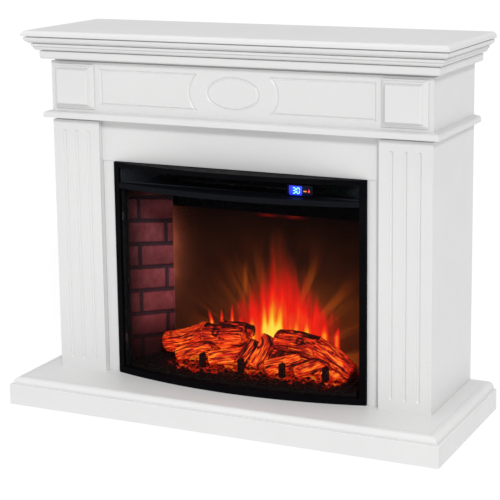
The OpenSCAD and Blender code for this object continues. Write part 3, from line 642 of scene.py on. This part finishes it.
def lick(x, z, flame, seed):
    """Heat of one flame over x, z: hottest at the logs, fading and narrowing to its tip."""
    x0, half, tip, hot, lean = flame
    t = np.clip((z - FLAME_FOOT) / (tip - FLAME_FOOT), 0, 1)
    sway = (field(t * 2.2 + seed * 3.1, np.full_like(t, seed * 1.7)) - 0.5) * 2 * FLAME_CURL * t
    width = half * np.power(1 - t, 0.62) + 1.5
    d = (x - x0 - lean * t - sway) / width
    return hot * np.power(1 - t, 0.85) * np.exp(-1.1 * np.abs(d) ** 2.5)


def tinted(amount, colour):
    return amount[..., None] * np.array(colour)


def flame_colours(x, z):
    """Linear RGB of the lit screen at x, z in millimetres."""
    warp = (fractal(x / 38.0 + 3, z / 80.0, 3) - 0.5) * step(200, 420, z)
    xs = x + 20 * warp
    streak = fractal(xs / 13.0 + 9, z / 120.0 + 2, 3)

    # the broad red glow over the logs
    reach = 0.0029 + 0.0026 * np.clip(np.abs(xs - 25) / 100.0, 0, 2)
    crest = 0.74 * np.exp(-np.abs((xs - 45) / 162.0) ** 3)
    rise = z - 240 - 60 * (streak - 0.5)
    heats = [crest * np.clip(1 - reach * rise / np.maximum(crest, 0.05), 0, 1)]
    heats += [lick(xs, z, flame, FIRST_SEED + k) for k, flame in enumerate(FLAMES)]
    heat = np.power(sum(np.power(h, 5.0) for h in heats), 0.2)
    heat = heat * (0.90 + 0.20 * streak)
    fire = np.stack([np.interp(heat, HEAT, c) for c in (HEAT_RED, HEAT_GREEN, HEAT_BLUE)], -1)

    # amber rays that fan out behind the flames
    ang, r = np.arctan2(x - 20, z - 90), np.hypot(x - 20, z - 90)
    fan = step(0.40, 0.74, fractal(ang * 11.0 + 31, r / 260.0 + 4, 3))
    far = spot(r, 195 + 25 * np.cos(2 * ang), 92.0) * (0.45 + 0.55 * step(-0.1, 0.5, ang))
    lone = spot(x, -82, 6.5) * step(270, 300, z) * step(400, 330, z)
    rays = tinted(fan * far * 1.5 + 0.8 * lone, AMBER)

    # the brown field of the film, a haze over the logs and a bright left edge
    up = np.interp(z, [200, 250, 350, 450, 520, 560], [1.0, 1.0, 0.86, 0.46, 0.17, 0.02])
    brown = tinted(up * (0.60 + 0.80 * fractal(x / 70.0, z / 120.0 + 3)), BROWN)
    haze = tinted(spot(z, 265, 70.0) * spot(x, 90, 210.0), HAZE)
    mottle = 0.7 + 0.6 * fractal(x / 60.0, z / 30.0 + 8, 3)
    edge = np.exp(-(x + 316) / 24.0) * spot(z, 395, 105.0) * mottle
    left = tinted(np.clip(edge, 0, 1), EDGE_GLOW)

    # two faint red glints of the lamps just under the lintel
    glint = tinted(sum(spot(x, at, 26.0) for at in (-8, 74)) * spot(z, 531, 5.0), GLINT)
    behind = (rays + haze) * (1 - np.clip(heat * 1.6, 0, 1))[..., None]
    return fire + behind + brown + (left + glint) + 0.0002


def flame_screen():
    """The film as a plate, whose front is fine enough to carry the flames' colours."""
    lo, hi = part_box("flame_screen")
    nx, nz = 300, 220
    x = np.linspace(lo[0], hi[0], nx)
    z = np.linspace(lo[2], hi[2], nz)
    X, Z = np.meshgrid(x, z, indexing="ij")
    front = np.stack([X, np.full_like(X, lo[1]), Z], -1).reshape(-1, 3)
    rgb = flame_colours(X * MM, Z * MM).reshape(-1, 3)
    n = nx * nz
    around = ((lo[0], lo[2]), (hi[0], lo[2]), (hi[0], hi[2]), (lo[0], hi[2]))
    back = [(cx, hi[1], cz) for cx, cz in around]
    bottom = [i * nz for i in range(nx)]
    right = [(nx - 1) * nz + j for j in range(nz)]
    top = [i * nz + nz - 1 for i in range(nx - 1, -1, -1)]
    left = [j for j in range(nz - 1, -1, -1)]
    faces = grid_faces(nx, nz)
    for k, rim in enumerate((bottom, right, top, left)):
        faces.append((n + (k + 1) % 4, n + k) + tuple(rim))
    faces.append((n + 1, n + 2, n + 3, n))
    rgb = np.vstack([rgb, np.zeros((4, 3))])
    piece("flame_picture", np.vstack([front, back]), faces, "flame_film", ["flame_screen"],
          smooth=False, attrs=dict(zip(("red", "green", "blue"), rgb.T)))


flame_screen()


# ---------------------------------------------------------------- logs

# start, end, radius at the start and the end, in millimetres: the CAD's logs, where the short front
# ones are 2 to 4 mm fatter here
LOGS = [
    ((-292, 40, 142), (-150, 28, 190), 29, 36),
    ((-160, 34, 184), (-20, 20, 196), 36, 30),
    ((-120, 52, 214), (-8, 40, 206), 21, 19),
    ((-232, -16, 132), (-128, 14, 158), 19, 22),
    ((-118, -30, 130), (-12, 4, 158), 21, 24),
    ((-18, -26, 124), (14, 18, 190), 21, 24),
    ((22, -28, 128), (58, 22, 206), 24, 26),
    ((72, 24, 204), (212, 6, 196), 30, 33),
    ((196, 10, 198), (318, -2, 142), 32, 24),
    ((62, -34, 128), (160, 0, 162), 21, 23),
    ((150, -28, 126), (232, 2, 160), 19, 22),
    ((222, -22, 126), (296, 4, 140), 18, 19),
    # two lengths that fill the gaps behind the others
    ((-20, 22, 146), (88, 22, 158), 31, 29),
    ((84, 14, 146), (214, 12, 150), 27, 25)]
ONE_BENT_LOG = ({0, 1}, {7, 8})  # pairs that meet end to end, without a crease
KNOTS = ((30, 196, 15), (-112, 206, 9), (160, 214, 9))  # x, z and radius, in millimetres
FINGERS_X, FINGERS_TOP = (-134, -9, 116, 241), 168  # the grate's fingers, in millimetres
LOGS_FOOT = 0.1085
RING_STEP, AROUND, END_DOME = 0.0022, 104, 0.007
SEED_STEP = 0.7


def one_log(log, seed):
    """One log with furrowed bark and domed ends.

    Gives its points and faces, and for each point the bark's height, its place in the log and how
    squarely it faces up on a lying log."""
    a, b = (Vector(p) / MM for p in log[:2])
    r0, r1 = (r / MM for r in log[2:])
    axis = (b - a).normalized()
    length = (b - a).length
    side = axis.cross(Vector((0, 0, 1))).normalized()
    up = side.cross(axis)
    rings = max(24, int(length / RING_STEP))
    verts, bark, place, top = [], [], [], []
    lying = max(0.0, 1 - 1.6 * abs(axis.z))
    off = Vector((seed * 3.7, seed * 1.9, seed * 5.3))
    for i in range(rings + 1):
        t = i / rings
        # the last rings close the ends over a small dome
        end = min(t, 1 - t) * length
        cap = math.sqrt(max(0.0, 1 - (1 - min(1, end / END_DOME)) ** 2))
        s = t * length
        bend = 0.003 * math.sin(s * 38 + seed * 2)
        centre = a + axis * s + up * bend
        for j in range(AROUND):
            ang = 2 * math.pi * j / AROUND
            ca, sa = math.cos(ang), math.sin(ang)
            r = (r0 + (r1 - r0) * t) * (0.30 + 0.70 * cap if cap < 1 else 1)
            p = Vector((ca * r * 95, sa * r * 95, s * 17)) + off
            p += Vector((0.35, 0.35, 0)) * noise.noise(Vector((s * 60, ang * 1.5, seed)))
            n1 = 1 - abs(noise.noise(p)) * 2.1
            n2 = 1 - abs(noise.noise(p * 2.3 + Vector((5, 3, 1)))) * 2.1
            crack = noise.noise(Vector((ca * 2.2, sa * 2.2, s * 55)) + off)
            furrow = 0.66 * n1 + 0.34 * n2
            plate = max(0.0, min(1.0, furrow * 0.9 + 0.25 * crack))
            lump = noise.noise(Vector((ca * 1.1, sa * 1.1, s * 22)) + off * 2)
            rr = r + cap * (-0.0022 + 0.0034 * plate + 0.0028 * lump)
            verts.append(centre + (side * ca + up * sa) * rr)
            bark.append(plate)
            place.append((ca * r + seed, sa * r + seed, s + seed))
            top.append(sa * lying)
    faces = grid_faces(rings + 1, AROUND, closed=True)
    for ring, rev in ((0, False), (rings, True)):
        k = len(verts)
        first = ring * AROUND
        verts.append(sum(verts[first:first + AROUND], Vector()) / AROUND)
        bark.append(0.9)
        place.append((seed, seed, seed + ring * 0.01))
        top.append(0.75 * lying)
        for j in range(AROUND):
            f = (first + j, first + (j + 1) % AROUND, k)
            faces.append(f[::-1] if rev else f)
    return verts, faces, np.array(bark), np.array(place), np.array(top)


def past_log(points, log):
    """How far the points lie outside a log, in millimetres."""
    a, b, r0, r1 = np.array(log[0], float), np.array(log[1], float), log[2], log[3]
    t = np.clip((points - a) @ (b - a) / ((b - a) @ (b - a)), 0, 1)
    return np.linalg.norm(points - a - t[:, None] * (b - a), axis=1) - (r0 + (r1 - r0) * t)


def log_set():
    """All the logs as one piece, hollowed behind the fingers and flat below."""
    V, F, B, Q, T, crease = [], [], [], [], [], []
    for i, log in enumerate(LOGS):
        v, f, bark, place, top = one_log(log, SEED_STEP * (i + 1))
        v_mm = np.array([tuple(p) for p in v]) * MM
        base = len(V)
        V += [tuple(p) for p in v]
        F += [tuple(base + k for k in quad) for quad in f]
        B.append(bark)
        Q.append(place)
        T.append(top)
        others = [other for k, other in enumerate(LOGS) if k != i and {i, k} not in ONE_BENT_LOG]
        near = np.min([np.abs(past_log(v_mm, other)) for other in others], axis=0)
        crease.append(spot(near, 0, 4.2))
    V, B, Q, T = np.array(V), np.concatenate(B), np.concatenate(Q), np.concatenate(T)
    x, y, z = V[:, 0] * MM, V[:, 1] * MM, V[:, 2] * MM
    # painted light and shade: lit from below and in front; the crowns of the logs, the creases
    # where they meet and their lowest parts stay dark, and so do both far ends
    heat = 0.94 + 0.22 * spot(z, 150, 34.0) * step(40, -25, y)
    crown = step(0.66, 0.92, T + 0.55 * (fractal(x / 14.0, y / 14.0 + 5, 3) - 0.5))
    heat -= 0.85 * crown + 0.80 * np.concatenate(crease)
    heat -= 0.55 * step(280, 318, np.abs(x))
    heat -= 0.28 * step(128, 112, z)
    heat += 0.20 * (fractal(x / 22.0, z / 22.0 + y / 30.0, 3) - 0.5)
    # round knots with a dark ring, in front
    front = step(24, 6, y)
    for kx, kz, r in KNOTS:
        d = np.hypot(x - kx, (z - kz) * 1.1)
        heat -= 0.85 * spot(d, r, 3.6) * front
        B = B - 0.5 * spot(d, 0, 0.7 * r) * front
    # the logs are hollowed behind each finger of the grate
    for fx in FINGERS_X:
        aside = np.clip((np.abs(x - fx) - 11) / 11, 0, None)
        behind = bow_y(fx / MM, 0.090) + 0.0085 - 0.040 * aside
        V[:, 1] = np.where(z < FINGERS_TOP, np.maximum(V[:, 1], behind), V[:, 1])
    V[:, 2] = np.maximum(V[:, 2], LOGS_FOOT)
    attrs = {"heat": np.clip(heat, 0, 1.3), "bark": np.clip(B, 0, 1),
             "across": Q[:, 0], "over": Q[:, 1], "along": Q[:, 2]}
    piece("logs", V, F, "log_resin", ["log_set"], attrs=attrs)


log_set()


# ---------------------------------------------------------------- ember bed

EMBERS_BACK, EMBERS_HALF = 0.118, 0.3575
EMBERS_FRONT = 0.0135 + 0.004 + 0.0045  # from the bow's front to the glass, its thickness, a gap
WALL_GAP = 0.0065
CINDER_FOOT, CINDER_RISE = 0.1025, 0.0085


def ember_bed():
    """A bed of cinders between the walls, from the glass back to behind the logs."""
    nu, nv = 300, 96
    slope = WALL_BACK[1] - WALL_FRONT[1]
    V, B = [], []
    for i in range(nu):
        u = -1 + 2 * i / (nu - 1)
        for j in range(nv):
            v = j / (nv - 1)
            y0 = float(bow_y(u * 0.345, EMBERS_FRONT))
            y = y0 + (EMBERS_BACK - y0) * v
            wall = WALL_FRONT[0] + (WALL_BACK[0] - WALL_FRONT[0]) * (y - WALL_FRONT[1]) / slope
            x = u * (min(wall, EMBERS_HALF) - WALL_GAP)
            rim = min(v, 1 - v) * 0.22 / 0.006
            dist = noise.voronoi(Vector((x * 62, y * 62, 2.0)))[0]
            lump = max(0.0, 1 - dist[0] * 1.35)
            grit = noise.noise(Vector((x * 150, y * 150, 5)))
            h = CINDER_RISE * lump ** 0.7 + 0.003 * grit
            V.append((x, y, CINDER_FOOT + h * min(1, rim)))
            B.append(min(1.0, (dist[1] - dist[0]) * 2.2))
    n = len(V)
    V += [(x, y, FLOOR_Z + 0.0002) for x, y, z in V]
    faces = [f[::-1] for f in grid_faces(nu, nv)] + grid_faces(nu, nv, start=n)
    faces += [(b, b + n, a + n, a) for a, b in rim_pairs(nu, nv)]
    A = np.array(V)
    x, y, z = A[:, 0] * MM, A[:, 1] * MM, A[:, 2] * MM
    # painted glow: the cinders are lit in patches near the logs, and most where the logs lie
    patch = step(0.50, 0.72, fractal(x / 26.0 + 4, y / 20.0, 3))
    near = step(-96, -48, y) * step(310, 230, np.abs(x - 25))
    heat = near * (0.26 + 0.58 * patch) * (z > 95)
    heat += 0.42 * step(-40, -20, y) * step(300, 250, np.abs(x - 10))
    bark = np.concatenate([B, np.zeros(n)])
    piece("embers", A, faces, "ember_resin", ["ember_bed"], attrs={"heat": heat, "bark": bark})


ember_bed()


# ---------------------------------------------------------------- outlet mesh

MESH_RIM, MESH_PITCH, WIRE_HALF = 0.0035, 0.0062, 0.0006
SHORTEST_WIRE = 0.001
DISPLAY_GAP = 0.003
# how much painted sheen the middle rail carries
RAIL_PAINTED_LIGHT = 0.09


def strip(verts, faces, p, q, half, y0, y1):
    """Adds a flat bar from p to q in the XZ plane, half its width each side, between y0 and y1."""
    p, q = Vector((p[0], 0, p[1])), Vector((q[0], 0, q[1]))
    d = (q - p).normalized()
    s = Vector((-d.z, 0, d.x)) * half
    k = len(verts)
    for y in (y0, y1):
        for c in (p - s, q - s, q + s, p + s):
            verts.append((c.x, y, c.z))
    faces += [(k, k + 1, k + 2, k + 3), (k + 7, k + 6, k + 5, k + 4)]
    for i, j in ((0, 1), (1, 2), (2, 3), (3, 0)):
        faces.append((k + i, k + 4 + i, k + 4 + j, k + j))


def outlet_mesh():
    """Two layers of slanting wires in a rim, left and right of the display."""
    lo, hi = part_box("air_grille")
    dlo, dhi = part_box("display_window")
    x0, x1, z0, z1, y0, y1 = lo[0], hi[0], lo[2], hi[2], lo[1], hi[1]
    hole = (dlo[0] - DISPLAY_GAP, dhi[0] + DISPLAY_GAP)
    half = MESH_RIM / 2
    inset = MESH_RIM * 0.7
    lo_z, hi_z = z0 + inset, z1 - inset
    rise = hi_z - lo_z
    V, F = [], []
    ym = (y0 + y1) / 2
    for xa, xb in ((x0, hole[0]), (hole[1], x1)):
        for z in (z0 + half, z1 - half):
            strip(V, F, (xa, z), (xb, z), half, y0, y1)
        for x in (xa + half, xb - half):
            strip(V, F, (x, z0 + MESH_RIM), (x, z1 - MESH_RIM), half, y0, y1)
        xl, xr = xa + inset, xb - inset
        for s, ya, yb in ((1, y0 + 0.0001, ym), (-1, ym, y1 - 0.0001)):
            k = xl - rise
            while k < xr:
                a, b = max(k, xl), min(k + rise, xr)
                if b - a > SHORTEST_WIRE:
                    za, zb = lo_z + (a - k), lo_z + (b - k)
                    if s < 0:
                        za, zb = hi_z - (a - k), hi_z - (b - k)
                    strip(V, F, (a, za), (b, zb), WIRE_HALF, ya, yb)
                k += MESH_PITCH
    for z in (z0 + half, z1 - half):
        strip(V, F, (hole[0], z), (hole[1], z), half, y0, y1)
    # painted light: paler towards both ends, where the mesh is lit
    x = np.array(V)[:, 0]
    away = np.abs(x) / max(x1, -x0)
    worn = 0.5 * np.where(x < 0, step(0.60, 1.0, away), step(0.93, 1.0, away))
    piece("outlet_mesh", V, F, "black_sheet", ["air_grille"], smooth=False, attrs={"worn": worn})


outlet_mesh()

# painted sheen: the rail under the mesh is a little paler than the other black sheet too, all over
rail = NODES["mid_rail"].data
worn = np.full(2 * len(rail.loops), RAIL_PAINTED_LIGHT, np.float32)
rail.uv_layers.new(name="worn").data.foreach_set("uv", worn)


# ---------------------------------------------------------------- display

LCD = (0.160, 0.1975, 0.6445, 0.6695)  # x and z from and to
DIGITS, DIGITS_Z = ((0.1745, "abgcd"), (0.1865, "abcdef")), 0.657  # a 3 and a 0
BAR_HALF, BAR_WIDE, BAR_GAP = 0.0038, 0.0012, 0.0006
DOT_X, DOT_Z, DOT_SIZE, DOT_STEP = 0.2025, 0.6545, 0.0035, 0.0048
FLAME_ICON = [(0.2180, 0.6530), (0.2200, 0.6540), (0.2208, 0.6565), (0.2196, 0.6600),
              (0.2180, 0.6630), (0.2176, 0.6600), (0.2164, 0.6585), (0.2156, 0.6560),
              (0.2164, 0.6538)]


def slab(name, outline, y0, y1, mat):
    """A flat plate of the display in the XZ plane with that outline, between y0 and y1."""
    n = len(outline)
    V = [(x, y0, z) for x, z in outline] + [(x, y1, z) for x, z in outline]
    F = [tuple(range(n)), tuple(range(2 * n - 1, n - 1, -1))]
    F += [(i, n + i, n + (i + 1) % n, (i + 1) % n) for i in range(n)]
    o = piece(name, V, F, "display_block", smooth=False)
    paint(o, mat)
    bm = bmesh.new()
    bm.from_mesh(o.data)
    bmesh.ops.recalc_face_normals(bm, faces=bm.faces)
    bm.to_mesh(o.data)
    bm.free()


def rounded(x0, x1, z0, z1, r, n=6):
    """A rectangle with round corners of n steps each."""
    out = []
    corners = ((x1 - r, z0 + r, -90), (x1 - r, z1 - r, 0),
               (x0 + r, z1 - r, 90), (x0 + r, z0 + r, 180))
    for cx, cz, a0 in corners:
        for k in range(n + 1):
            a = math.radians(a0 + 90 * k / n)
            out.append((cx + r * math.cos(a), cz + r * math.sin(a)))
    return out


def segment(cx, cz, flat):
    """One bar of a seven-segment digit, with pointed ends."""
    half, w = BAR_HALF - BAR_GAP, BAR_WIDE
    bar = [(-half, 0), (-half + w, -w), (half - w, -w), (half, 0), (half - w, w), (-half + w, w)]
    if flat:
        return [(cx + along, cz + across) for along, across in bar]
    return [(cx - across, cz + along) for along, across in bar]


def display():
    lo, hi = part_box("display_window")
    y = lo[1]
    blue = glow("lcd_blue", (0.0, 0.01, 0.85), 1.6)
    cyan = glow("lcd_digit", (0.22, 0.75, 1.0), 2.2)
    amber = glow("icon_amber", (1.0, 0.3, 0.03), 1.6)
    red = glow("icon_red", (1.0, 0.02, 0.02), 1.6)
    slab("lcd_field", rounded(*LCD, 0.002), y - 0.0002, y + 0.0004, blue)
    h = BAR_HALF
    bars = {"a": (0, 2 * h, True), "g": (0, 0, True), "d": (0, -2 * h, True), "f": (-h, h, False),
            "b": (h, h, False), "e": (-h, -h, False), "c": (h, -h, False)}
    for d, (cx, on) in enumerate(DIGITS):
        for key in on:
            dx, dz, flat = bars[key]
            bar = segment(cx + dx, DIGITS_Z + dz, flat)
            slab(f"digit_{d}_{key}", bar, y - 0.0005, y - 0.0001, cyan)
    for k in range(2):
        x = DOT_X + DOT_STEP * k
        dot = rounded(x, x + DOT_SIZE, DOT_Z, DOT_Z + DOT_SIZE, 0.0015)
        slab(f"icon_dot_{k}", dot, y - 0.0004, y + 0.0003, amber)
    slab("icon_flame", FLAME_ICON, y - 0.0004, y + 0.0003, red)


display()


# ---------------------------------------------------------------- softened edges

# the frieze board keeps its edges, so that its routed lines stay crisp
soften([n for n, s in SLOT_OF.items() if s == "white_board" and n != "frieze_board"], 0.0012)
soften(["front_frame", "mid_rail"], 0.0006)
soften(["grate_fingers"], 0.002)


# ---------------------------------------------------------------- studio

FLOOR_HALF, FLOOR_DROP = 60, 0.0004
FLOOR_TONES = [(0.3, (0.195, 0.195, 0.195)), (0.7, (0.205, 0.205, 0.205))]
FLOOR_GLOW, WORLD_STRENGTH = 0.80, 0.55
# the key comes from the right of the front; a weak one fills the left and another the top
SUNS = [  # azimuth, elevation, strength and angle
    ("key_right", 35, 30, 1.62, 10),
    ("fill_left", -40, 30, 0.12, 40),
    ("overhead", 0, 86, 0.92, 30)]
DISPLAY_LIGHT_AT, DISPLAY_LIGHT_SIZE = (0.18, -0.086, 0.657), (0.03, 0.02)
DISPLAY_LIGHT_POWER, DISPLAY_LIGHT_COLOUR = 0.02, (0.05, 0.12, 1.0)


def sun(name, azimuth, elevation, strength, angle):
    data = bpy.data.lights.new(name, "SUN")
    data.energy = strength
    data.angle = math.radians(angle)
    a, e = math.radians(azimuth), math.radians(elevation)
    back = Vector((math.sin(a) * math.cos(e), -math.cos(a) * math.cos(e), math.sin(e)))
    o = link_new(name, data)
    o.rotation_mode = "QUATERNION"
    o.rotation_quaternion = back.to_track_quat("Z", "Y")


def studio():
    me = bpy.data.meshes.new("floor")
    s, z = FLOOR_HALF, -FLOOR_DROP
    me.from_pydata([(-s, -s, z), (s, -s, z), (s, s, z), (-s, s, z)], [], [(0, 1, 2, 3)])
    floor = link_new("floor", me)
    m = Mat("lit_studio_floor", (0.2, 0.2, 0.2), 0.9, specular=0.0)
    m.set(Base_Color=m.ramp(m.noise(1.5, 3), FLOOR_TONES),
          Emission_Color=(1.0, 1.0, 1.0), Emission_Strength=FLOOR_GLOW)
    me.materials.append(m.m)

    world = bpy.data.worlds.new("studio")
    world.use_nodes = True
    world.node_tree.nodes["Background"].inputs["Color"].default_value = (1, 1, 1, 1)
    world.node_tree.nodes["Background"].inputs["Strength"].default_value = WORLD_STRENGTH
    bpy.context.scene.world = world

    for light in SUNS:
        sun(*light)

    # the lit display shines on the rail below it
    data = bpy.data.lights.new("display_glow", "AREA")
    data.shape = "RECTANGLE"
    data.size, data.size_y = DISPLAY_LIGHT_SIZE
    data.energy, data.color = DISPLAY_LIGHT_POWER, DISPLAY_LIGHT_COLOUR
    o = link_new("display_glow", data)
    o.location = DISPLAY_LIGHT_AT
    o.rotation_euler = (math.radians(90), 0, 0)
    o.visible_camera = False

    view = bpy.context.scene.view_settings
    view.view_transform = "Standard"
    view.look = "None"
    view.exposure = 0
    view.gamma = 1


studio()
